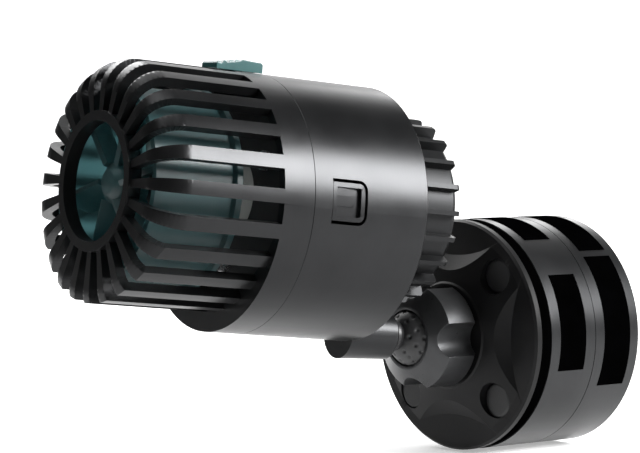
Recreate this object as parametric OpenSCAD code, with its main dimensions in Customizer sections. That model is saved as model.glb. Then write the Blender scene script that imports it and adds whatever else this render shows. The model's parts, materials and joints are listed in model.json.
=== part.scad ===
// Aquarium wave maker pump on a ball-jointed magnet base.
// Row frame: the glass plane is y = 0, the pump points to -Y, and +Z is up.
// The pump's own frame has the ball's centre at its origin, +Y from nose to tail and +Z up.

/* [Magnet base] */
// Radius of both magnet pucks
puck_r = 30; // [29:0.5:32]
// Thickness of the puck outside the glass
dry_t = 16.4; // [15.8:0.1:18]
// Distance of the ball's centre from the glass plane
ball_y = 34.4; // [34.4:0.1:35]
// Radius of the swivel ball
ball_r = 8; // [7.9:0.05:8]
// Radius over the lobes of the clamp nut
nut_r = 13.4; // [13.2:0.1:14]

/* [Pump] */
// Radius of the outer sleeve
sleeve_r = 32.2; // [32:0.1:33]
// Height of the sleeve's axis above the arm's axis
sleeve_h = 30; // [30:0.1:30.5]
// Height of the motor's axis above the sleeve's axis
motor_rise = 2; // [1.5:0.1:2]
// Number of slots in the front cage
slots = 24; // [20:1:26]
// Angle that one slot spans, in degrees
slot_deg = 8.8; // [6:0.1:9]
// Number of grip ribs on the rear ring
grip_ribs = 22; // [16:1:24]
// Number of propeller blades
blades = 5; // [3:1:6]

/* [Pose] */
// Nose-up angle of the pump at rest
pump_pitch = 5.7; // [0:0.1:8]
// Sideways angle of the pump at rest
pump_yaw = 7; // [0:0.5:8]

/* [Hidden] */
$fn = 96;
eps = 0.01;

// Running clearance between a shaft and its hole
run = 0.05;

// --- stations along Y in the row frame: the puck on the water side ---
cover_front = -21.5;
cover_back = -19.4;
cover_inner = -17.9;
cover_spigot = -14.5;
groove_t = 3.5;
wet_front = cover_back + groove_t;
pad_t = 1.2;
seam = 0.2;
wall_r = puck_r - 4;
post_r = 3.2;
screw_c = 22.5;
screw_r = 1.5;
plug_seat = -20.7;
plug_r = 4.5;
head_r = 2.6;
scallop_c = 55.7;
scallop_r = [40.6, 34.9];
window_y = [-12.7, -3.5];
window_deg = 48.6;
dry_window_y = [3.3, 12.8];
dry_window_deg = 68;
window_pitch = 72;
window_start = 8.6;
window_count = 4;
bumper_proud = 0.15;
magnet_r = 18.8;
wet_magnet_y = [-13, -3.1];
dry_magnet_y = [3.1, 11.6];
keeper_t = 1.5;
hub_front = -33.4;
hub_floor = -22.9;
hub_r = 9.25;
plateau_r = 14;
plateau_y = -25;
seat_back = -24.4;
seat_front = -30.5;
seat_r = 8.1;
nut_back = -25.7;
nut_edge = -35.4;
nut_lip = -38.5;
lip_r = 7.3;
flute_r = 4.95;
flute_c = nut_r + 1.8;

// --- stations along Y in the pump's own frame ---
motor_h = sleeve_h + motor_rise;
nose_y = -98.4;
shoulder = 8;
cage_y = -65;
seam_y = -56.4;
sleeve_back = -23;
sleeve_in = sleeve_r - 2.2;
cage_wall = 2.4;
flat_r = 35;
flat_h = sleeve_h + 7.74;
boss_front = -24.9;
boss_back = -9.9;
boss_r = 6.2;
boss_draft = 0.5;
neck_r = 4.2;
stud_r = 3;
grub_y = -15.5;
grub_r = 1.5;
lug_c = 27;
lug_r = 3.4;
lug_angles = [-35, -145];
lug_back = -27.6;
bulkhead_back = -24.7;
can_r = 25;
can_front = -60;
can_back = -26.2;
thread_r = 18.5;
thread_back = -14;
ring_r = 21;
ring_rib = 2.6;
ring_front = -24.2;
ring_back = -6;
rib_back = -7.1;
well_r = 10.2;
well_wall = 1.2;
well_back = -28;
shaft_r = 2;
duct_in = 21.8;
duct_out = 23.6;
duct_front = -95.4;
duct_back = -72;
hub_y = [-80, -66];
core_y = [-51, -35];
core_r = 22.2;
board_y = [-31, -29.4];
rotor_y = [-56, -36];
rotor_r = 9.5;
plate_screw_c = 17;
spigot_back = -52.2;
nose_ring_out = 17;
nose_ring_in = 14.6;
latch_h = sleeve_h + 2;
latch_y = [-51.2, -42];
latch_w = 9.3;
latch_gap = 0.8;
latch_land = 1.1;
latch_dip = [0.2, 1.15];
latch_step = 0.2;
latch_step_l = 6.2;
latch_step_w = 2.6;
tab_y = [-69.4, -56.1];
tab_w = 7;
tab_h = 2.8;

// Points of an arc, from angle a0 to a1
function arc(cx, cy, r, a0, a1, n = 8) =
  [for (i = [0:n]) let (a = a0 + (a1 - a0) * i / n) [cx + r * cos(a), cy + r * sin(a)]];

// A cylinder along Y from y0 to y1
module rod(r, y0, y1, r2 = undef) {
  translate([0, y0, 0])
    rotate([-90, 0, 0])
      cylinder(r1 = r, r2 = is_undef(r2) ? r : r2, h = y1 - y0);
}

// A tube along Y
module tube(ro, ri, y0, y1) {
  difference() {
    rod(ro, y0, y1);
    rod(ri, y0 - 1, y1 + 1);
  }
}

// A [radius, y] profile turned about the Y axis
module turned(profile) {
  rotate([-90, 0, 0])
    rotate_extrude()
      polygon(profile);
}

// A wedge about the Y axis, centred on angle a from +X towards +Z
module wedge(a, span, r, y0, y1) {
  translate([0, y1, 0])
    rotate([90, 0, 0])
      linear_extrude(y1 - y0)
        polygon([[0, 0], [r * cos(a - span / 2), r * sin(a - span / 2)],
                 [r * 1.2 * cos(a), r * 1.2 * sin(a)],
                 [r * cos(a + span / 2), r * sin(a + span / 2)]]);
}

// Copies at n equal steps about the Y axis
module around(n, start = 0) {
  for (i = [0:n - 1])
    rotate([0, -start - i * 360 / n, 0])
      children();
}

// Puts a piece drawn in the pump's own frame where the pump is at rest
module on_pump() {
  translate([0, -ball_y, 0])
    rotate([-pump_pitch, 0, -pump_yaw])
      children();
}

// The same, from the motor's axis
module on_motor() {
  on_pump()
    translate([0, 0, motor_h])
      children();
}

// --- magnet base, water side ---

module cover_blank() {
  turned([
    [0, hub_floor], [hub_r - 1.1, hub_floor], [hub_r - 1.1, hub_front], [hub_r, hub_front],
    [hub_r, plateau_y], [plateau_r - 0.5, plateau_y], [plateau_r, plateau_y + 0.4],
    [puck_r - 3, cover_front], [puck_r - 0.6, cover_front], [puck_r, cover_front + 0.6],
    [puck_r, cover_back], [wall_r - 0.1, cover_back], [wall_r - 0.1, cover_spigot],
    [wall_r - 2.1, cover_spigot], [wall_r - 2.1, cover_inner], [0, cover_inner]]);
}

module base_cover() {
  color("#3a3b3d")
    difference() {
      cover_blank();
      // four scalloped dips between the screw lobes
      around(4)
        translate([scallop_c, 0, 0])
          rod(scallop_r[0], plateau_y - 0.05, cover_front + 0.05, scallop_r[1]);
      around(4, 45)
        translate([screw_c, 0, 0]) {
          rod(plug_r + 0.1, -30, plug_seat);
          rod(2.8, -21, -19.2);
          rod(screw_r + 0.1, -20, -14);
          // room for the housing's screw posts
          rod(post_r + 0.3, cover_inner, -14);
        }
    }
}

module cover_gasket() {
  color("#0b0b0c")
    tube(puck_r - 0.35, wall_r, cover_back, wet_front);
}

module cover_screws() {
  color("silver")
    around(4, 45)
      translate([screw_c, 0, 0])
        difference() {
          union() {
            rod(head_r, plug_seat, -19.2);
            rod(screw_r, -19.2 - eps, -8);
          }
          rod(1.15, -21, -19.9, $fn = 6);
        }
}

module screw_plugs() {
  color("#101011")
    around(4, 45)
      translate([screw_c, 0, 0])
        turned([[0, cover_front], [plug_r - 0.6, cover_front], [plug_r, cover_front + 0.3],
                [plug_r, plug_seat - 0.02], [0, plug_seat - 0.02]]);
}

// One puck's shell: a cup with screw posts, open on the side at y0
module puck_shell(y0, y1, floor_t, posts) {
  difference() {
    rod(puck_r, y0, y1);
    rod(wall_r, y0 - 1, y1 - floor_t);
  }
  around(4, 45)
    translate([screw_c, 0, 0])
      difference() {
        rod(post_r, posts, y1 - floor_t + eps);
        rod(screw_r + run, posts - 1, y1 - floor_t - 0.4);
      }
}

module windows(ys, span, r0, r1, shrink = 0) {
  for (i = [0:window_count - 1])
    intersection() {
      tube(r1, r0, ys[0] + shrink, ys[1] - shrink);
      wedge(window_start + i * window_pitch, span - shrink * 4, 40, ys[0] - 1, ys[1] + 1);
    }
}

module wet_housing() {
  color("#3a3b3d")
    difference() {
      puck_shell(wet_front, -seam / 2, 2.9, cover_inner + 0.1);
      windows(window_y, window_deg, wall_r - 1, puck_r + 1);
      rod(wall_r - 1, -pad_t, 1);
    }
}

module wet_bumpers() {
  color("#08080a")
    windows(window_y, window_deg, wall_r + 0.05, puck_r + bumper_proud, 0.05);
}

module wet_magnet() {
  color("#9a9b9e")
    rod(magnet_r, wet_magnet_y[0], wet_magnet_y[1]);
}

module wet_keeper() {
  color("#7d7f83")
    rod(magnet_r, wet_magnet_y[0] - 0.1 - keeper_t, wet_magnet_y[0] - 0.1);
}

module wet_pad() {
  color("#141416")
    turned([[0, -pad_t + eps], [wall_r - 1.1, -pad_t + eps], [wall_r - 1.1, -0.3],
            [wall_r - 1.4, 0], [0, 0]]);
}

module seat_o_ring() {
  color("#151517")
    rotate([-90, 0, 0])
      rotate_extrude()
        translate([6, (hub_floor + seat_back) / 2, 0])
          circle(r = (hub_floor - seat_back) / 2 - 0.02, $fn = 24);
}

module ball_seat() {
  color("#55585c")
    difference() {
      rod(seat_r, seat_front, seat_back);
      translate([0, -ball_y, 0])
        sphere(r = ball_r + 0.1);
    }
}

module nut_blank() {
  difference() {
    turned([
      [hub_r + 0.1, nut_back], [nut_r - 0.8, nut_back], [nut_r, nut_back - 0.8], [nut_r, nut_edge],
      [lip_r + 0.9, nut_lip], [lip_r, nut_lip], [lip_r, -ball_y - 0.8], [hub_r + 0.1, -ball_y - 0.8]]);
    translate([0, -ball_y, 0])
      sphere(r = ball_r + 0.15);
  }
}

module clamp_nut() {
  color("#4a4b4e")
    difference() {
      rotate([0, 45, 0])
        nut_blank();
      around(4)
        translate([flute_c, 0, 0])
          rod(flute_r, nut_lip - 1, nut_back + 1);
    }
}

// --- ball and stud ---

module swivel_ball() {
  color("#2b2c2e")
    on_pump()
      difference() {
        sphere(r = ball_r);
        rod(2 + run, -10, 3);
      }
}

module ball_stud() {
  color("#26272a")
    on_pump() {
      rod(2, -12, 2.8);
      difference() {
        turned([[0, boss_back + 0.02], [neck_r, boss_back + 0.02], [neck_r, -8.3],
                [neck_r - 0.9, -6.2], [neck_r - 0.9, 0], [0, 0]]);
        sphere(r = ball_r + run);
      }
      rod(stud_r, -19, boss_back + 0.03);
    }
}

// --- magnet base, dry side ---

module dry_housing() {
  color("#3a3b3d")
    difference() {
      mirror([0, 1, 0])
        puck_core_dry();
      windows(dry_window_y, dry_window_deg, wall_r - 1, puck_r + 1);
    }
}

// The dry puck's shell drawn towards -Y, open at the glass
module puck_core_dry() {
  difference() {
    turned([[0, -dry_t], [puck_r - 0.6, -dry_t], [puck_r, -dry_t + 0.6],
            [puck_r, -seam / 2], [0, -seam / 2]]);
    rod(wall_r, -dry_t + 3.2, 1);
  }
  around(4, 45)
    translate([screw_c, 0, 0])
      difference() {
        rod(post_r, -dry_t + 3.1, -3.1);
        rod(screw_r + run, -dry_t + 4, -2);
      }
}

module dry_bumpers() {
  color("#08080a")
    windows(dry_window_y, dry_window_deg, wall_r + 0.05, puck_r + bumper_proud, 0.05);
}

module dry_magnet() {
  color("#9a9b9e")
    rod(magnet_r, dry_magnet_y[0], dry_magnet_y[1]);
}

module dry_keeper() {
  color("#7d7f83")
    rod(magnet_r, dry_magnet_y[1] + 0.1, dry_magnet_y[1] + keeper_t);
}

module dry_inner_plate() {
  color("#2d2e30")
    difference() {
      rod(wall_r - 0.1, pad_t + 0.1, 3);
      around(4, 45)
        translate([screw_c, 0, 0]) {
          rod(screw_r + 0.1, 0, 4);
          rod(2.8, 0, 2.4);
        }
    }
}

module dry_plate_screws() {
  color("silver")
    around(4, 45)
      translate([screw_c, 0, 0])
        difference() {
          union() {
            rod(head_r, pad_t + 0.15, 2.4);
            rod(screw_r, 2.4 - eps, 10);
          }
          rod(1.1, 1, 1.9, $fn = 6);
        }
}

module dry_pad() {
  color("#141416")
    turned([[0, seam], [wall_r - 1.4, seam], [wall_r - 1.1, seam + 0.3],
            [wall_r - 1.1, pad_t + 0.08], [0, pad_t + 0.08]]);
}

// --- sleeve and arm ---

// Outline of a latch, made larger by grow: straight at the front, round-cornered at the free end
module latch_outline(grow = 0) {
  corner = 1.6;
  front = latch_y[0] - min(grow, 0.1);
  linear_extrude(12)
    polygon(concat(
      [[front, -latch_w / 2 - grow]],
      arc(latch_y[1] - corner, -latch_w / 2 + corner, corner + grow, -90, 0, 6),
      arc(latch_y[1] - corner, latch_w / 2 - corner, corner + grow, 0, 90, 6),
      [[front, latch_w / 2 + grow]]));
}

// Stands a latch-shaped prism on the sleeve's side; side is 1 for near and -1 for far
module at_latch(side) {
  translate([side * 26, 0, latch_h])
    mirror([side > 0 ? 0 : 1, 0, 0])
      multmatrix([[0, 0, 1, 0], [1, 0, 0, 0], [0, 1, 0, 0], [0, 0, 0, 1]])
        children();
}

module sleeve() {
  color("#4b4c4f")
    on_pump() {
      difference() {
        translate([0, 0, sleeve_h])
          turned([[sleeve_in, seam_y], [sleeve_r - 0.1, seam_y], [sleeve_r, seam_y + 0.1],
                  [sleeve_r, sleeve_back - 0.5], [sleeve_r - 0.5, sleeve_back], [sleeve_in, sleeve_back]]);
        for (side = [-1, 1])
          at_latch(side)
            latch_outline(latch_gap);
      }
      arm();
    }
}

// Places its children at the two lugs that hold the rear bulkhead
module at_lugs() {
  for (a = lug_angles)
    translate([lug_c * cos(a), 0, sleeve_h + lug_c * sin(a)])
      children();
}

// The arm under the sleeve's tail that carries the ball's stud
module arm() {
  difference() {
    union() {
      rod(boss_r + boss_draft, boss_front, boss_back - 0.8, boss_r);
      rod(boss_r, boss_back - 0.8, boss_back, boss_r - 0.8);
      // web that joins the boss to the inside of the sleeve
      intersection() {
        translate([-boss_r, -42, -1])
          cube([boss_r * 2, 42 + boss_front + 4, 6.4]);
        translate([0, 0, sleeve_h])
          rod(sleeve_r - 0.5, -50, sleeve_back + 3);
      }
      at_lugs()
        rod(lug_r, -40, lug_back);
    }
    rod(stud_r + run, -19.1, boss_back + 1);
    translate([0, grub_y, 2])
      cylinder(r = grub_r + run, h = 6);
    at_lugs()
      rod(1.25, -37, -27);
    translate([0, 0, motor_h])
      rod(can_r + 0.1, -45, -20);
  }
}

// Grub screw down through the boss onto the stud
module arm_screw() {
  color("silver")
    on_pump()
      translate([0, grub_y, stud_r + run])
        difference() {
          cylinder(r = grub_r, h = 2.8);
          translate([0, 0, 1.2])
            cylinder(r = 0.9, h = 2, $fn = 6);
        }
}

// --- motor ---

module motor_housing() {
  color("#232427")
    on_motor()
      difference() {
        union() {
          rod(can_r, can_front + 2.6, can_back);
          rod(thread_r, can_back - eps, thread_back);
        }
        rod(can_r - 1.6, can_front, can_back - 1.7);
        rod(thread_r - 3, can_front, thread_back - 2.2);
        rod(3.9, -20, 0);
      }
}

module motor_front_plate() {
  color("#2a2b2e")
    on_motor()
      difference() {
        union() {
          turned([[0, can_front], [can_r - 1.5, can_front], [can_r, can_front + 1],
                  [can_r, can_front + 2.5], [0, can_front + 2.5]]);
          rod(can_r - 1.7, can_front + 2.4, can_front + 5.4);
          rod(well_r + well_wall, can_front, well_back);
        }
        rod(well_r, can_front - 1, well_back - 5.2);
        rod(3.5, well_back - 6, well_back - 1.6);
        difference() {
          rod(can_r - 4, can_front + 2.5, can_front + 6);
          rod(well_r + well_wall, can_front + 2, can_front + 7);
        }
        // groove for the O-ring
        tube(can_r, can_r - 3.1, can_front + 3.05, can_front + 4.95);
        around(3, 30)
          translate([plate_screw_c, 0, 0])
            rod(1.3, can_front - 1, can_front + 1.6);
      }
}

module front_plate_screws() {
  color("silver")
    on_motor()
      around(3, 30)
        translate([plate_screw_c, 0, 0])
          difference() {
            union() {
              rod(2.4, can_front - 1.3, can_front);
              rod(1.25, can_front - eps, can_front + 1.5);
            }
            rod(1, can_front - 2, can_front - 0.5, $fn = 6);
          }
}

module housing_o_ring() {
  color("#1a1a1c")
    on_motor()
      rotate([-90, 0, 0])
        rotate_extrude()
          translate([can_r - 2.34, can_front + 4])
            circle(r = 0.7, $fn = 24);
}

module stator_core() {
  color("#8f9296")
    on_motor()
      union() {
        tube(core_r, core_r - 3.6, core_y[0], core_y[1]);
        around(6) {
          translate([12.6, core_y[0], -2.2])
            cube([6.4, core_y[1] - core_y[0], 4.4]);
          intersection() {
            tube(13.2, well_r + well_wall + 0.1, core_y[0], core_y[1]);
            wedge(0, 46, 30, core_y[0] - 1, core_y[1] + 1);
          }
        }
      }
}

module stator_coils() {
  color("#b5652b")
    on_motor()
      around(6)
        difference() {
          translate([13.4, core_y[0] - 2.4, -4.4])
            cube([4.6, core_y[1] - core_y[0] + 4.8, 8.8]);
          translate([13, core_y[0] - 0.2, -2.35])
            cube([6, core_y[1] - core_y[0] + 0.4, 4.7]);
        }
}

module driver_board() {
  color("#1f6b3a")
    on_motor() {
      difference() {
        rod(core_r + 0.3, board_y[0], board_y[1]);
        rod(well_r + well_wall + 0.4, board_y[0] - 1, board_y[1] + 1);
      }
      for (a = [20:60:320])
        rotate([0, -a, 0])
          translate([15.5, board_y[1] - eps, -1.8])
            cube([3.6, 1.2, 3.6]);
    }
}

module rear_bulkhead() {
  color("#1e1f21")
    on_pump()
      difference() {
        translate([0, 0, sleeve_h])
          rod(sleeve_in - 0.1, lug_back + 0.1, bulkhead_back);
        translate([0, 0, motor_h]) {
          rod(can_r + 0.15, -28, can_back + 0.05);
          rod(thread_r + 0.2, -28, -20);
        }
        translate([-boss_r - 0.2, -30, -5])
          cube([2 * boss_r + 0.4, 8, 10.6]);
        rod(boss_r + boss_draft + 0.1, -30, -20);
        at_lugs()
          rod(1.5, -30, -20);
      }
}

module bulkhead_screws() {
  color("silver")
    on_pump()
      at_lugs()
        difference() {
          union() {
            rod(2, bulkhead_back, bulkhead_back + 1.4);
            rod(1.2, -36, bulkhead_back + eps);
          }
          rod(0.95, bulkhead_back + 0.5, -20, $fn = 6);
        }
}

// --- cable gland on the motor's axis, at the tail ---

module cable_gland() {
  color("#17181a")
    on_motor()
      difference() {
        union() {
          rod(3.8, -19.6, -13.9);
          rod(5.6, thread_back + 0.05, thread_back + 1.8);
          rod(3.8, thread_back + 1.7, -7.2);
        }
        rod(2.6, -17.5, 0);
      }
}

module gland_nut() {
  color("#1c1d20")
    on_motor()
      difference() {
        turned([[0, -12.1], [5.5, -12.1], [5.5, -6], [4.6, -3.6], [3.5, -3], [0, -3]]);
        rod(3.85, -13, -7.1);
        rod(2.7, -8, -2);
      }
}

module shaft() {
  color("#e9e6dd")
    on_motor()
      rod(shaft_r, -91.5, -30.2);
}

module rear_bushing() {
  color("#303236")
    on_motor()
      difference() {
        rod(3.45, well_back - 5.1, well_back - 1.7);
        rod(shaft_r + 0.02, well_back - 6, well_back - 2.1);
      }
}

// --- front cage, duct, slider and latches ---

// The cage's outside, drawn smaller by inset for its inside
module cage_form(inset) {
  r = sleeve_r - inset;
  bend = shoulder - min(inset, 2);
  intersection() {
    translate([0, 0, sleeve_h])
      turned(concat(
        [[0, cage_y + 1], [r, cage_y + 1]],
        arc(r - bend, nose_y + inset + bend, bend, 0, -90, 10),
        [[0, nose_y + inset]]));
    translate([0, 0, flat_h])
      rod(flat_r - inset, nose_y - 5, cage_y + 5);
  }
}

module cage_collar() {
  difference() {
    translate([0, 0, sleeve_h])
      union() {
        rod(sleeve_r, cage_y, seam_y - 0.08);
        rod(sleeve_in - 0.1, seam_y - 1, spigot_back);
      }
    translate([0, 0, sleeve_h])
      rod(sleeve_in - 1.8, -62.6, spigot_back + 2);
    cage_form(cage_wall);
    intersection() {
      translate([0, 0, sleeve_h])
        rod(sleeve_r - cage_wall, cage_y - 1, -60);
      translate([0, 0, flat_h])
        rod(flat_r - cage_wall, cage_y - 1, -60);
    }
  }
}

module front_cage() {
  color("#4b4c4f")
    on_pump() {
      difference() {
        union() {
          difference() {
            cage_form(0);
            cage_form(cage_wall);
            translate([0, 0, sleeve_h])
              rod(sleeve_r + 5, cage_y + eps, cage_y + 10);
            translate([0, 0, motor_h])
              for (i = [0:slots - 1])
                wedge(90 + (i + 0.5) * 360 / slots, slot_deg, 60, nose_y - 5, cage_y + 2);
          }
          cage_collar();
          translate([0, 0, motor_h])
            rod(nose_ring_out, nose_y - 0.6, nose_y + 2.9);
        }
        translate([0, 0, motor_h])
          rod(nose_ring_in, nose_y - 2, nose_y + 4);
        // slot for the slider's foot
        translate([-2.5, -63.8, sleeve_h + 20])
          cube([5, 5.4, 20]);
      }
    }
}

module flow_duct() {
  color([0.16, 0.52, 0.52, 0.7])
    on_motor() {
      turned([
        [duct_in, duct_front], [duct_out, duct_front], [duct_out, duct_back - 2.4],
        [duct_out + 1.2, duct_back - 1.8], [duct_out + 1.2, duct_back - 0.3],
        [duct_out + 0.9, duct_back], [duct_in + 0.9, duct_back], [duct_in, duct_back - 1.5]]);
      difference() {
        union() {
          turned([[0, -95.4], [3, -95], [4.8, -93.6], [5.4, -92], [5.4, -86.5], [0, -86.5]]);
          around(6, 15)
            translate([4.8, -91, 0])
              rotate([22, 0, 0])
                translate([0, -4, -0.7])
                  cube([duct_in - 4.3, 8, 1.4]);
        }
        rod(3.3, -92, -86);
        difference() {
          rod(30, -99, -80);
          rod(duct_in + 0.5, -100, -79);
        }
      }
    }
}

module front_bushing() {
  color("#303236")
    on_motor()
      difference() {
        rod(3.25, -91.9, -87);
        rod(shaft_r + run, -91.6, -86);
      }
}

module lock_slider() {
  top = sleeve_h + sleeve_r;
  color([0.17, 0.55, 0.55, 0.85])
    on_pump() {
      difference() {
        translate([-tab_w / 2, 0, 0])
          multmatrix([[0, 0, 1, 0], [1, 0, 0, 0], [0, 1, 0, 0], [0, 0, 0, 1]])
            linear_extrude(tab_w)
              polygon(concat(
                [[tab_y[0], top - 1], [tab_y[0], top + 1.3]],
                [for (k = [0:3]) each [
                  [tab_y[0] + 0.3 + k * 1.75, top + 1.75 + k * 0.3],
                  [tab_y[0] + 1.2 + k * 1.75, top + 1.75 + k * 0.3],
                  [tab_y[0] + 1.5 + k * 1.75, top + 1.3 + k * 0.34]]],
                [[tab_y[0] + 7.4, top + tab_h], [tab_y[1] - 3, top + tab_h - 0.2],
                 [tab_y[1] - 0.5, top + tab_h - 0.3], [tab_y[1], top + tab_h - 0.8], [tab_y[1], top - 1]]));
        translate([0, 0, sleeve_h])
          rod(sleeve_r + 0.15, tab_y[0] - 1, tab_y[1] + 1);
        // shallow pocket in the rear of the thumb pad
        translate([-tab_w / 2 + 1.2, tab_y[1] - 7.5, top + tab_h - 0.9])
          cube([tab_w - 2.4, 6, 3]);
      }
      translate([-2.3, -63.5, top - 3.4])
        cube([4.6, 2.2, 4.6]);
    }
}

module latch(side) {
  color("#454649")
    on_pump()
      difference() {
        intersection() {
          at_latch(side)
            latch_outline();
          translate([0, 0, sleeve_h])
            tube(sleeve_r, sleeve_in + 0.4, latch_y[0] - 5, latch_y[1] + 5);
        }
        // finger recess that deepens towards the free end, round a step in its middle
        difference() {
          at_latch(side)
            latch_outline(-latch_land);
          latch_floor(0);
          intersection() {
            latch_floor(latch_step);
            translate([side * sleeve_r, latch_y[0] + latch_step_l / 2, latch_h + 0.2])
              cube([8, latch_step_l, latch_step_w], center = true);
          }
        }
      }
}

// The recess's floor, raised by rise: a cone about the sleeve's axis
module latch_floor(rise) {
  translate([0, 0, sleeve_h])
    rod(sleeve_r - latch_dip[0] + rise, latch_y[0], latch_y[1], sleeve_r - latch_dip[1] + rise);
}

// --- ring on the tail ---

module rear_ring() {
  color("#333437")
    on_motor()
      difference() {
        union() {
          turned([[0, ring_front], [ring_r, ring_front], [ring_r, ring_back - 1.6],
                  [ring_r - 0.5, ring_back - 0.7], [ring_r - 1.6, ring_back - 0.1],
                  [ring_r - 3, ring_back], [0, ring_back]]);
          around(grip_ribs) {
            translate([ring_r - 0.6, ring_front + 0.4, -0.6])
              cube([ring_rib + 0.6 - 1, rib_back - ring_front - 0.4, 1.2]);
            translate([ring_r - 0.6, ring_front + 0.4, -0.6])
              cube([ring_rib + 0.6, rib_back - ring_front - 1.4, 1.2]);
            translate([ring_r + ring_rib - 1, rib_back - 1, -0.6])
              cylinder(r = 1, h = 1.2, $fn = 32);
          }
        }
        rod(thread_r + 0.1, ring_front - 1, ring_back - 2.4);
        rod(6.2, -20, 0);
        // shallow dish in the rear face
        rod(12, ring_back - 0.8, ring_back + 1, 13);
      }
}

// --- rotor ---

// One blade: rings of points around its section, from the hub to the tip
blade_n = 8;
blade_m = 6;
ring_n = 2 * (blade_m + 1);
root_r = 6.2;
tip_r = 20.8;
blade_y = -73;
function blade_pitch(i) = 62 - 34 * i / blade_n;
function blade_chord(i) = 9 + 5 * sin(180 * (0.15 + 0.75 * i / blade_n));
function blade_half_t(i, j) =
  (0.25 + 0.5 * sin(180 * (0.04 + 0.92 * j / blade_m))) * (1 - 0.35 * i / blade_n);

// Point j along the chord of ring i, on the side that face gives as 1 or -1
function blade_point(i, j, face) =
  let (c = (j / blade_m - 0.5) * blade_chord(i), p = blade_pitch(i), t = face * blade_half_t(i, j),
       r = root_r + (tip_r - root_r) * i / blade_n,
       a = (c * cos(p) - t * sin(p)) / r * 180 / PI + 14 * pow(i / blade_n, 2))
    [r * cos(a), blade_y + c * sin(p) + t * cos(p), r * sin(a)];

function blade_ring(i) = concat(
  [for (j = [0:blade_m]) blade_point(i, j, 1)],
  [for (j = [blade_m:-1:0]) blade_point(i, j, -1)]);

// Triangles that close the first ring, and the same turned over for the last
function cap_faces(first) =
  [for (j = [0:blade_m - 1]) let (a = first + j, b = first + ring_n - 1 - j)
    each [[a + 1, a, b], [a + 1, b, b - 1]]];
function turned_over(faces) = [for (f = faces) [f[2], f[1], f[0]]];

module blade() {
  sides = [for (i = [0:blade_n - 1]) for (k = [0:ring_n - 1])
    let (a = i * ring_n + k, b = i * ring_n + (k + 1) % ring_n)
      each [[a, b, b + ring_n], [a, b + ring_n, a + ring_n]]];
  polyhedron(
    points = [for (i = [0:blade_n]) each blade_ring(i)],
    faces = turned_over(concat(sides, cap_faces(0), turned_over(cap_faces(blade_n * ring_n)))),
    convexity = 4);
}

module propeller() {
  color([0.2, 0.6, 0.58, 0.75])
    on_motor() {
      around(blades)
        blade();
      difference() {
        turned([[3.4, hub_y[0]], [root_r, hub_y[0]], [root_r + 0.8, hub_y[0] + 0.8],
                [root_r + 0.8, hub_y[1]], [3.4, hub_y[1]]]);
        rod(3.4, hub_y[0] - 1, hub_y[1] + 1);
      }
    }
}

module propeller_cap() {
  color("#2f3033")
    on_motor()
      difference() {
        turned(concat([[0, hub_y[0] - 0.05], [6.4, hub_y[0] - 0.05]],
                      arc(0, hub_y[0] - 0.05, 6.4, -8, -62, 6),
                      [[2.6, -86], [0, -86]]));
        rod(shaft_r + 0.3, -90, -70);
      }
}

module rotor_magnet() {
  color("#55575b")
    on_motor()
      tube(rotor_r, 5.6, rotor_y[0], rotor_y[1]);
}

module rotor_core() {
  color("#d8d8d4")
    on_motor()
      difference() {
        union() {
          rod(5.55, rotor_y[0] - 2, rotor_y[1] + 1.8);
          rod(rotor_r + 0.1, rotor_y[0] - 2, rotor_y[0] - 0.05);
          rod(rotor_r + 0.1, rotor_y[1] + 0.05, rotor_y[1] + 1.8);
          rod(3.35, hub_y[0], rotor_y[0] - 1);
        }
        rod(shaft_r + 0.4, -90, -30);
        rod(3, -81, -76);
        rod(3, -40, -30);
      }
}

module rotor_bushes() {
  color("#26282b")
    on_motor()
      for (y = [-79.9, -39.9])
        tube(2.98, shaft_r + run, y, y + 3.8);
}

module thrust_washers() {
  color("#e9e6dd")
    on_motor() {
      tube(3.2, shaft_r + 0.1, -86.9, -86.1);
      tube(3.2, shaft_r + 0.1, -34.1, -33.4);
    }
}

base_cover();
cover_gasket();
cover_screws();
screw_plugs();
wet_housing();
wet_bumpers();
wet_magnet();
wet_keeper();
wet_pad();
seat_o_ring();
ball_seat();
clamp_nut();
swivel_ball();
ball_stud();
dry_housing();
dry_bumpers();
dry_magnet();
dry_keeper();
dry_inner_plate();
dry_plate_screws();
dry_pad();
sleeve();
arm_screw();
motor_housing();
motor_front_plate();
front_plate_screws();
housing_o_ring();
stator_core();
stator_coils();
driver_board();
rear_bulkhead();
bulkhead_screws();
cable_gland();
gland_nut();
shaft();
rear_bushing();
front_cage();
flow_duct();
front_bushing();
lock_slider();
latch(1);  // latch_near
latch(-1);  // latch_far
rear_ring();
propeller();
propeller_cap();
rotor_magnet();
rotor_core();
rotor_bushes();
thrust_washers();
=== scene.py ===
import json
import math

import bmesh
import bpy
from mathutils import Matrix, Vector


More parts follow.
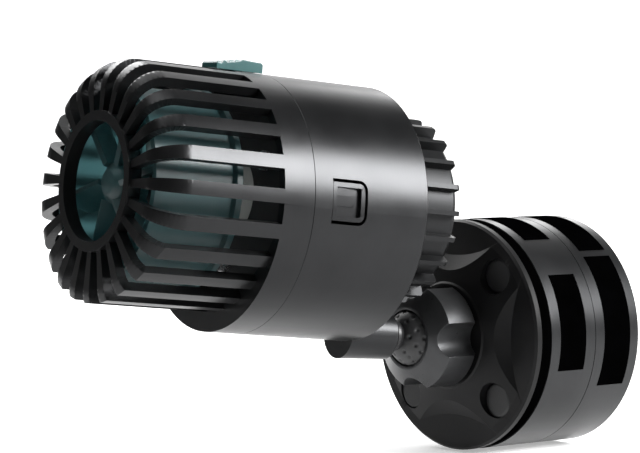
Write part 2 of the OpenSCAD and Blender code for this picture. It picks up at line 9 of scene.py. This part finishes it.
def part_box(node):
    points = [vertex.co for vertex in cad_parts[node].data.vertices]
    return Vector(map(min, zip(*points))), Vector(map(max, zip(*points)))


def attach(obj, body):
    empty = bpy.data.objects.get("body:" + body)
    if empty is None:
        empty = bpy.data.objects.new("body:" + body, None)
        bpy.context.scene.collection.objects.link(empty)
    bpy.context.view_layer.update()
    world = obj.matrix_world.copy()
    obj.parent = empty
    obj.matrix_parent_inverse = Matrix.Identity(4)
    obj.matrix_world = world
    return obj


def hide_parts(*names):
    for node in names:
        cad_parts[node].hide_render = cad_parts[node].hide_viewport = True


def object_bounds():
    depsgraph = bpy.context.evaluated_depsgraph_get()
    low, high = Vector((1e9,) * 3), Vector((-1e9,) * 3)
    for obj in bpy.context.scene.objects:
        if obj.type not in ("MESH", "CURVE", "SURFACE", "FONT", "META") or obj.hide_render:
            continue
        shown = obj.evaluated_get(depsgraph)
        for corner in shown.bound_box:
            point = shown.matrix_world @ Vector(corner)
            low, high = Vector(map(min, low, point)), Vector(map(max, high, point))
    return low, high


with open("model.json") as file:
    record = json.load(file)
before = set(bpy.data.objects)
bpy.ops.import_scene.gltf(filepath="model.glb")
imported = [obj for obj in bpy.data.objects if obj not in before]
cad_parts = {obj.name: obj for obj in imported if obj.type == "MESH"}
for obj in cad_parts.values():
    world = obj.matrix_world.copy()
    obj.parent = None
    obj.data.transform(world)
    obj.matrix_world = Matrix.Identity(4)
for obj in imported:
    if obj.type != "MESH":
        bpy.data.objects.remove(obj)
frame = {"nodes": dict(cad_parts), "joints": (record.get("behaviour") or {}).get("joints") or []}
cad_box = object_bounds()
NODES = frame["nodes"]
JOINTS = {j["name"]: j for j in frame["joints"]}

# ---- places taken from the frame ----

BALL = Vector(JOINTS["ball_roll"]["pos_m"])
TAIL = Vector(JOINTS["ball_roll"]["axis"]).normalized()
PUMP_UP = Vector(JOINTS["latch_near_press"]["axis"]).normalized()
PUMP_SIDE = TAIL.cross(PUMP_UP)
# turns the pump's own frame (X to the near side, Y to the tail, Z up) into the row frame
PUMP = Matrix.Translation(BALL) @ Matrix((PUMP_SIDE, TAIL, PUMP_UP)).transposed().to_4x4()
PUMP_EULER = PUMP.to_euler("XYZ")
MOTOR_H = (PUMP.inverted() @ Vector(JOINTS["rotor_spin"]["pos_m"])).z
SLEEVE_H = (PUMP.inverted() @ Vector(JOINTS["latch_near_press"]["pos_m"])).z


# ---- making objects ----

def add_object(name, data):
    obj = bpy.data.objects.new(name, data)
    bpy.context.scene.collection.objects.link(obj)
    return obj


def to_data(name, mesh):
    """Turns a bmesh into mesh data of that name and frees it."""
    data = bpy.data.meshes.new(name)
    mesh.to_mesh(data)
    mesh.free()
    return data


def smooth(data):
    for polygon in data.polygons:
        polygon.use_smooth = True


# ---- material helpers ----

PLASTIC_IOR = 1.42


class Nodes:
    """A new material's node tree, with short calls for the nodes that it needs."""

    def __init__(self, name):
        self.mat = bpy.data.materials.new(name)
        self.mat.use_nodes = True
        self.tree = self.mat.node_tree
        self.shader = self.tree.nodes["Principled BSDF"]

    def add(self, kind, inputs=(), **settings):
        node = self.tree.nodes.new("ShaderNode" + kind)
        for key, value in settings.items():
            setattr(node, key, value)
        for key, value in dict(inputs).items():
            if isinstance(value, bpy.types.NodeSocket):
                self.tree.links.new(value, node.inputs[key])
            else:
                node.inputs[key].default_value = value
        return node

    def math(self, operation, a, b=0.0):
        return self.add("Math", {0: a, 1: b}, operation=operation).outputs[0]

    def noise(self, vector, scale, detail, rough=0.55, distortion=0.0):
        node = self.add("TexNoise", {"Vector": vector, "Scale": scale, "Detail": detail,
                                     "Roughness": rough, "Distortion": distortion})
        return node.outputs["Fac"]

    def ramp(self, value, low, high, to_low, to_high):
        node = self.add("MapRange", {0: value, 1: low, 2: high, 3: to_low, 4: to_high})
        return node.outputs[0]

    def spread(self, noise, to_low=0.0, to_high=1.0):
        """Stretches the middle of a noise, where most of its values lie, over a range."""
        return self.ramp(noise, 0.3, 0.7, to_low, to_high)

    def blend(self, a, b, share):
        """The first value in that share and the second in the rest."""
        return self.math("ADD", self.math("MULTIPLY", a, share),
                         self.math("MULTIPLY", b, 1 - share))

    def mix(self, factor, a, b):
        node = self.add("Mix", {"Factor": factor}, data_type="RGBA")
        node.inputs[6].default_value = (*a, 1)
        node.inputs[7].default_value = (*b, 1)
        return node.outputs[2]

    def place(self, location=(0, 0, 0), rotation=(0, 0, 0)):
        """Object coordinates in a frame at that place."""
        coords = self.add("TexCoord").outputs["Object"]
        node = self.add("Mapping", {"Vector": coords, "Location": location, "Rotation": rotation},
                        vector_type="TEXTURE")
        return node.outputs[0]

    def turned(self, vector, height, fine, around):
        """Coordinates for a finish turned about a Y axis at that height: fine along it, slow around."""
        x, y, z = self.add("SeparateXYZ", {0: vector}).outputs
        z = self.math("SUBTRACT", z, height)
        angle = self.math("ARCTAN2", x, z)
        squares = self.math("ADD", self.math("MULTIPLY", x, x), self.math("MULTIPLY", z, z))
        radius = self.math("SQRT", squares)
        node = self.add("CombineXYZ", {0: self.math("MULTIPLY", angle, around),
                                       1: self.math("MULTIPLY", y, fine),
                                       2: self.math("MULTIPLY", radius, fine)})
        return node.outputs[0]

    def bump(self, height, strength, distance, normal=None):
        inputs = {"Height": height, "Strength": strength, "Distance": distance}
        if normal is not None:
            inputs["Normal"] = normal
        return self.add("Bump", inputs).outputs[0]

    def set(self, **values):
        """Sets or links the shader's sockets; a name's underscores stand for spaces."""
        for key, value in values.items():
            socket = self.shader.inputs[key.replace("_", " ")]
            if isinstance(value, bpy.types.NodeSocket):
                self.tree.links.new(value, socket)
            else:
                is_colour = isinstance(value, tuple) and len(value) == 3
                socket.default_value = (*value, 1) if is_colour else value
        return self.mat


def satin(name, place, height, dark, light, grain_bump, rough=(0.27, 0.36)):
    """Charcoal satin finish: a fine turned grain, soft blotches and a faint speckle."""
    n = Nodes(name)
    vector = n.place(*place)
    grain = n.noise(n.turned(vector, height, fine=4200.0, around=5.0), scale=1.0, detail=4.0, rough=0.7)
    blotch = n.noise(vector, scale=70.0, detail=4.0)
    speckle = n.noise(vector, scale=2400.0, detail=2.0)
    speckled = n.bump(speckle, strength=0.05, distance=0.00004)
    return n.set(Base_Color=n.mix(n.spread(n.blend(grain, blotch, 0.35)), dark, light), Metallic=0.7,
                 Roughness=n.spread(n.blend(grain, blotch, 0.4), *rough),
                 Normal=n.bump(grain, grain_bump, distance=0.00004, normal=speckled))


def moulded(name, dark, light, rough=(0.42, 0.58), grain_scale=2600.0, strength=0.25, **extra):
    """Moulded plastic or rubber: a fine spark-eroded grain and faint tone changes."""
    n = Nodes(name)
    vector = n.place()
    grain = n.noise(vector, grain_scale, detail=2.0)
    blotch = n.noise(vector, scale=120.0, detail=4.0)
    wear = n.math("ADD", grain, n.math("MULTIPLY", blotch, 0.5))
    return n.set(Base_Color=n.mix(n.spread(blotch), dark, light),
                 Roughness=n.ramp(wear, 0.4, 1.1, *rough),
                 Normal=n.bump(grain, strength, distance=0.00005), **extra)


def metal(name, dark, light, rough=(0.2, 0.35)):
    """Bare metal with a fine grain and faint tone changes."""
    n = Nodes(name)
    vector = n.place()
    grain = n.noise(vector, scale=3000.0, detail=2.0)
    blotch = n.noise(vector, scale=300.0, detail=3.0)
    return n.set(Base_Color=n.mix(n.spread(blotch), dark, light), Metallic=1.0,
                 Roughness=n.spread(grain, *rough),
                 Normal=n.bump(grain, strength=0.08, distance=0.00003))


def clear(name, deep, pale, transmission, rough=(0.10, 0.22)):
    """Tinted see-through plastic with soft flow marks."""
    n = Nodes(name)
    vector = n.place()
    flow = n.noise(vector, scale=60.0, detail=3.0, rough=0.5, distortion=0.6)
    fine = n.noise(vector, scale=900.0, detail=2.0)
    return n.set(Base_Color=n.mix(n.spread(flow), deep, pale), Roughness=n.spread(fine, *rough),
                 Transmission_Weight=transmission, IOR=PLASTIC_IOR,
                 Normal=n.bump(flow, strength=0.15, distance=0.0003))


AT_PUMP = (tuple(BALL), tuple(PUMP_EULER))
AT_BASE = ((0, 0, 0), (0, 0, 0))

MATERIALS = {
    "shell": satin("satin_shell", AT_PUMP, SLEEVE_H,
                   (0.015, 0.0154, 0.0163), (0.022, 0.0225, 0.0237), 0.03),
    "ring": satin("satin_ring", AT_PUMP, MOTOR_H,
                  (0.011, 0.0113, 0.012), (0.017, 0.0175, 0.0185), 0.03, (0.36, 0.46)),
    "puck": satin("satin_puck", AT_BASE, 0.0, (0.017, 0.0175, 0.0185), (0.027, 0.0275, 0.029), 0.12),
    "cover": moulded("cover_plastic", (0.004, 0.004, 0.0043), (0.007, 0.007, 0.0075), (0.34, 0.46),
                     Specular_IOR_Level=0.16),
    "nut": moulded("nut_plastic", (0.036, 0.0367, 0.038), (0.052, 0.0528, 0.055), (0.26, 0.36),
                   Metallic=0.6),
    "ball": moulded("ball_plastic", (0.009, 0.009, 0.0095), (0.028, 0.0285, 0.030), (0.40, 0.55),
                    1400.0, 0.5),
    "rubber": moulded("black_rubber", (0.0003, 0.0003, 0.0003), (0.0006, 0.0006, 0.0007), (0.5, 0.7),
                      Specular_IOR_Level=0.0),
    "plug": moulded("plug_rubber", (0.006, 0.006, 0.0065), (0.009, 0.009, 0.010), (0.45, 0.6)),
    "foam": moulded("pad_foam", (0.006, 0.006, 0.006), (0.012, 0.012, 0.013), (0.7, 0.9), 1200.0, 0.6),
    "black": moulded("motor_plastic", (0.007, 0.007, 0.008), (0.013, 0.013, 0.014), (0.36, 0.5)),
    "seat": moulded("seat_plastic", (0.10, 0.105, 0.11), (0.14, 0.145, 0.15)),
    "steel": metal("screw_steel", (0.42, 0.42, 0.43), (0.60, 0.60, 0.61)),
    "keeper": metal("keeper_steel", (0.28, 0.28, 0.29), (0.38, 0.38, 0.39), (0.32, 0.5)),
    "nickel": metal("magnet_plate", (0.40, 0.40, 0.41), (0.52, 0.52, 0.52), (0.12, 0.25)),
    "core": metal("core_steel", (0.26, 0.27, 0.28), (0.36, 0.37, 0.38), (0.35, 0.5)),
    "copper": metal("coil_copper", (0.45, 0.16, 0.06), (0.62, 0.26, 0.11), (0.25, 0.4)),
    "board": moulded("board_green", (0.012, 0.10, 0.045), (0.02, 0.15, 0.06), (0.25, 0.35)),
    "ceramic": moulded("ceramic", (0.72, 0.70, 0.64), (0.82, 0.80, 0.75), (0.12, 0.2), 900.0, 0.05),
    "ferrite": moulded("rotor_ferrite", (0.05, 0.05, 0.054), (0.075, 0.075, 0.08), (0.4, 0.6)),
    "white": moulded("rotor_plastic", (0.55, 0.55, 0.53), (0.66, 0.66, 0.63)),
    "teal": clear("teal_clear", (0.04, 0.12, 0.13), (0.09, 0.20, 0.21), 0.75, (0.32, 0.45)),
    "tab": moulded("tab_plastic", (0.019, 0.095, 0.095), (0.026, 0.122, 0.122), (0.29, 0.33),
                   2600.0, 0.01, Transmission_Weight=0.25, IOR=PLASTIC_IOR),
    "blade": clear("blade_clear", (0.42, 0.58, 0.58), (0.62, 0.74, 0.73), 0.6),
}

FINISH = {
    "shell": ["sleeve", "front_cage", "latch_near", "latch_far"],
    "ring": ["rear_ring"],
    "puck": ["wet_housing", "dry_housing"],
    "cover": ["base_cover", "rear_bulkhead"],
    "nut": ["clamp_nut"],
    "ball": ["swivel_ball"],
    "rubber": ["cover_gasket", "wet_bumpers", "dry_bumpers", "seat_o_ring", "housing_o_ring"],
    "plug": ["screw_plugs"],
    "foam": ["wet_pad", "dry_pad"],
    "black": ["motor_housing", "motor_front_plate", "dry_inner_plate", "ball_stud", "cable_gland",
              "gland_nut", "propeller_cap"],
    "seat": ["ball_seat", "rear_bushing", "front_bushing", "rotor_bushes"],
    "steel": ["cover_screws", "dry_plate_screws", "arm_screw", "front_plate_screws", "bulkhead_screws"],
    "keeper": ["wet_keeper", "dry_keeper"],
    "nickel": ["wet_magnet", "dry_magnet"],
    "core": ["stator_core"],
    "copper": ["stator_coils"],
    "board": ["driver_board"],
    "ceramic": ["shaft", "thrust_washers"],
    "ferrite": ["rotor_magnet"],
    "white": ["rotor_core"],
    "teal": ["flow_duct"],
    "tab": ["lock_slider"],
    "blade": ["propeller"],
}


# points of a node's mesh nearer than this are one point
WELD_GAP = 0.000002
# how far larger faces lead the smooth shading
FACE_WEIGHT = 80
# edge width and the least angle of an edge that gets one: the usual, and where a node differs
USUAL_EDGE = (0.00012, 28.0)
EDGES = {"front_cage": (0.00022, 28.0), "latch_near": (0.0002, 28.0), "latch_far": (0.0002, 28.0),
         "clamp_nut": (0.0003, 28.0), "base_cover": (0.0002, 9.0), "sleeve": (0.0, 28.0)}


def dress(obj, finish, bevel, angle):
    """Gives an object its finish, and soft edges with smooth round faces unless bevel is 0."""
    obj.data.materials.clear()
    obj.data.materials.append(MATERIALS[finish])
    if not bevel:
        return
    weld = obj.modifiers.new("weld", "WELD")
    weld.merge_threshold = WELD_GAP
    edge = obj.modifiers.new("bevel", "BEVEL")
    edge.width = bevel
    edge.segments = 2
    edge.limit_method = "ANGLE"
    edge.angle_limit = math.radians(angle)
    edge.use_clamp_overlap = True
    smooth(obj.data)
    normals = obj.modifiers.new("normals", "WEIGHTED_NORMAL")
    normals.keep_sharp = True
    normals.weight = FACE_WEIGHT


for finish, names in FINISH.items():
    for name in names:
        dress(NODES[name], finish, *EDGES.get(name, USUAL_EDGE))


# ---- the dimpled ball ----

BALL_R = (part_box("swivel_ball")[1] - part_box("swivel_ball")[0]).x / 2
DIMPLE_R = 0.0007
DIMPLE_DEPTH = 0.0005
SHARP_ANGLE = math.radians(40)
# the stud's hole, which comes in from -Y and ends a little past the centre
STUD_HOLE_R = 0.00205
STUD_HOLE_START = -0.01
STUD_HOLE_END = 0.003
# angle of each ring of dimples from the stud, and how many dimples it has
DIMPLE_RINGS = ((38, 7), (52, 10), (66, 12), (80, 14), (95, 14), (110, 12))


def dimple_centres():
    """Points on a unit sphere in rings about the -Y axis; each ring starts half a step on."""
    for k, (angle, count) in enumerate(DIMPLE_RINGS):
        polar = math.radians(angle)
        for i in range(count):
            a = 2 * math.pi * (i + 0.5 * (k % 2)) / count
            yield Vector((math.sin(polar) * math.cos(a), -math.cos(polar),
                          math.sin(polar) * math.sin(a)))


def cut_hole(piece, radius, start, end):
    """Cuts a round hole along Y into a closed piece that stands at the origin."""
    mesh = bmesh.new()
    turn = Matrix.Translation((0, (start + end) / 2, 0)) @ Matrix.Rotation(math.pi / 2, 4, "X")
    bmesh.ops.create_cone(mesh, cap_ends=True, segments=64, radius1=radius, radius2=radius,
                          depth=end - start, matrix=turn)
    data = to_data("drill", mesh)
    drill = add_object("drill", data)
    cut = piece.modifiers.new("hole", "BOOLEAN")
    cut.operation = "DIFFERENCE"
    cut.solver = "EXACT"
    cut.object = drill
    cut_piece = piece.evaluated_get(bpy.context.evaluated_depsgraph_get())
    result = bpy.data.meshes.new_from_object(cut_piece)
    piece.modifiers.clear()
    piece.data = result
    bpy.data.objects.remove(drill)
    bpy.data.meshes.remove(data)


def dimpled_ball():
    """The visible ball: a fine sphere with dimples and the stud's hole, in place of swivel_ball."""
    mesh = bmesh.new()
    bmesh.ops.create_icosphere(mesh, subdivisions=6, radius=BALL_R)
    centres = list(dimple_centres())
    for vert in mesh.verts:
        unit = vert.co.normalized()
        away = min((unit - c).length for c in centres) * BALL_R / DIMPLE_R
        if away < 1.0:
            vert.co -= unit * DIMPLE_DEPTH * (1 - away * away) ** 2
    data = to_data("ball_dimples", mesh)
    data.materials.append(MATERIALS["ball"])
    piece = add_object("ball_dimples", data)
    cut_hole(piece, STUD_HOLE_R, STUD_HOLE_START, STUD_HOLE_END)
    smooth(piece.data)
    piece.data.set_sharp_from_angle(angle=SHARP_ANGLE)
    piece.data.transform(PUMP)
    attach(piece, "ball")
    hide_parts("swivel_ball")


dimpled_ball()


# ---- camera ----

CAMERA_AT = Vector((0.5495, -0.5370, 0.0605))
CAMERA_AZIMUTH = math.radians(49.5)
CAMERA_DOWN = math.radians(2.46)
LENS_MM = 163.1
SENSOR_MM = 36.0

camera = add_object("camera", bpy.data.cameras.new("camera"))
camera.data.lens = LENS_MM
camera.data.sensor_width = SENSOR_MM
camera.data.clip_start = 0.01
camera.location = CAMERA_AT
camera.rotation_euler = (math.pi / 2 - CAMERA_DOWN, 0, CAMERA_AZIMUTH)
bpy.context.scene.camera = camera


# ---- floor and light ----

# the floor lies this far under the object
FLOOR_GAP = 0.0005
FLOOR_NEAR = -3.0
FLOOR_HALF_WIDTH = 3.5
# where the backdrop stands behind the object, the radius of the curve up to it, and its top
BACKDROP_AT = 2.2
BACKDROP_CURVE = 0.8
BACKDROP_TOP = 3.5
CURVE_STEPS = 12
GREY = (0.38, 0.38, 0.38)
# white of the painted light on the floor; GREY is the floor's own pale grey
PAINTED_LIGHT_WHITE = (0.8, 0.8, 0.8)
# the white wedge of painted light: where it fades in ahead of the object, how fast it widens, and its soft
# side
WEDGE_FADE = (-0.4, -0.03)
WEDGE_SLOPE = 0.25
WEDGE_SIDE = (0.16, 0.50)
# painted glow of the wedge at the object and of the backdrop, standing in for lamp light, and the
# distances where they apply
PAINTED_FLOOR_GLOW = (0.4, 0.95)
GLOW_REACH = (0.1, 1.0)
# the point that the lights face
LIT_POINT = Vector((0, -0.06, 0.02))
WORLD_STRENGTH = 0.06


def floor_with_painted_light():
    """Matt pale grey floor with painted light on it: a faintly glowing white wedge that widens behind the
    object, standing in for a lit floor and backdrop.
    """
    n = Nodes("floor_with_painted_light")
    side, ahead, _ = n.add("SeparateXYZ", {0: n.place(rotation=(0, 0, CAMERA_AZIMUTH))}).outputs
    waver = n.math("MULTIPLY", n.noise(n.place(), scale=40.0, detail=3.0), 0.01)
    ahead = n.math("ADD", ahead, waver)
    beside = n.math("SUBTRACT", n.math("ABSOLUTE", side), n.math("MULTIPLY", ahead, WEDGE_SLOPE))
    # painted light: the mask of the white wedge, where the floor is painted as if lit
    white = n.math("MULTIPLY", n.ramp(ahead, *WEDGE_FADE, 0.0, 1.0),
                   n.ramp(beside, *WEDGE_SIDE, 1.0, 0.0))
    # painted glow: the white wedge emits light though it is no lamp
    painted_glow = n.math("MULTIPLY", white, n.ramp(ahead, *GLOW_REACH, *PAINTED_FLOOR_GLOW))
    return n.set(Base_Color=n.mix(white, GREY, PAINTED_LIGHT_WHITE), Roughness=0.8, Specular_IOR_Level=0.1,
                 Emission_Color=(1.0, 1.0, 1.0), Emission_Strength=painted_glow)


def cove(floor_z):
    """A floor that curves up into a backdrop behind the object, seen from the camera."""
    mesh = bmesh.new()
    bend = BACKDROP_AT - BACKDROP_CURVE
    rows = [(FLOOR_NEAR, 0.0), (bend, 0.0)]
    for k in range(1, CURVE_STEPS + 1):
        t = math.pi / 2 * k / CURVE_STEPS
        rows.append((bend + BACKDROP_CURVE * math.sin(t), BACKDROP_CURVE * (1 - math.cos(t))))
    rows.append((BACKDROP_AT, BACKDROP_TOP))
    turn = Matrix.Rotation(CAMERA_AZIMUTH, 4, "Z")
    made = [[mesh.verts.new(turn @ Vector((side, y, z + floor_z)))
             for side in (-FLOOR_HALF_WIDTH, FLOOR_HALF_WIDTH)] for y, z in rows]
    for (a, b), (c, d) in zip(made, made[1:]):
        mesh.faces.new((a, b, d, c))
    data = to_data("floor", mesh)
    smooth(data)
    obj = add_object("floor", data)
    data.materials.append(floor_with_painted_light())


def area_light(name, azimuth, elevation, distance, size, power):
    """A soft rectangular light: azimuth is measured like the camera's, from behind the camera round."""
    a = math.radians(azimuth)
    e = math.radians(elevation)
    back = Vector((math.sin(a) * math.cos(e), -math.cos(a) * math.cos(e), math.sin(e)))
    light = bpy.data.lights.new(name, "AREA")
    light.shape = "RECTANGLE"
    light.size, light.size_y = size
    light.energy = power
    obj = add_object(name, light)
    obj.location = LIT_POINT + back * distance
    obj.rotation_euler = (-back).to_track_quat("-Z", "Y").to_euler()
    obj.visible_camera = False


cove(cad_box[0].z - FLOOR_GAP)
# azimuth and elevation in degrees, distance and size in metres, power in watts
area_light("strip", 122, 25.5, 1.0, (0.36, 0.42), 21)
area_light("rim", 203, 24, 1.2, (0.7, 0.35), 3)
area_light("far_fill", 262, 42, 1.2, (0.8, 0.6), 13)
area_light("nose_fill", 350, 62, 1.2, (0.6, 0.6), 3)
area_light("top", 60, 78, 1.1, (0.7, 0.5), 2)

world = bpy.data.worlds.new("studio")
world.use_nodes = True
world.node_tree.nodes["Background"].inputs["Color"].default_value = (1, 1, 1, 1)
world.node_tree.nodes["Background"].inputs["Strength"].default_value = WORLD_STRENGTH
bpy.context.scene.world = world
bpy.context.scene.view_settings.view_transform = "Standard"
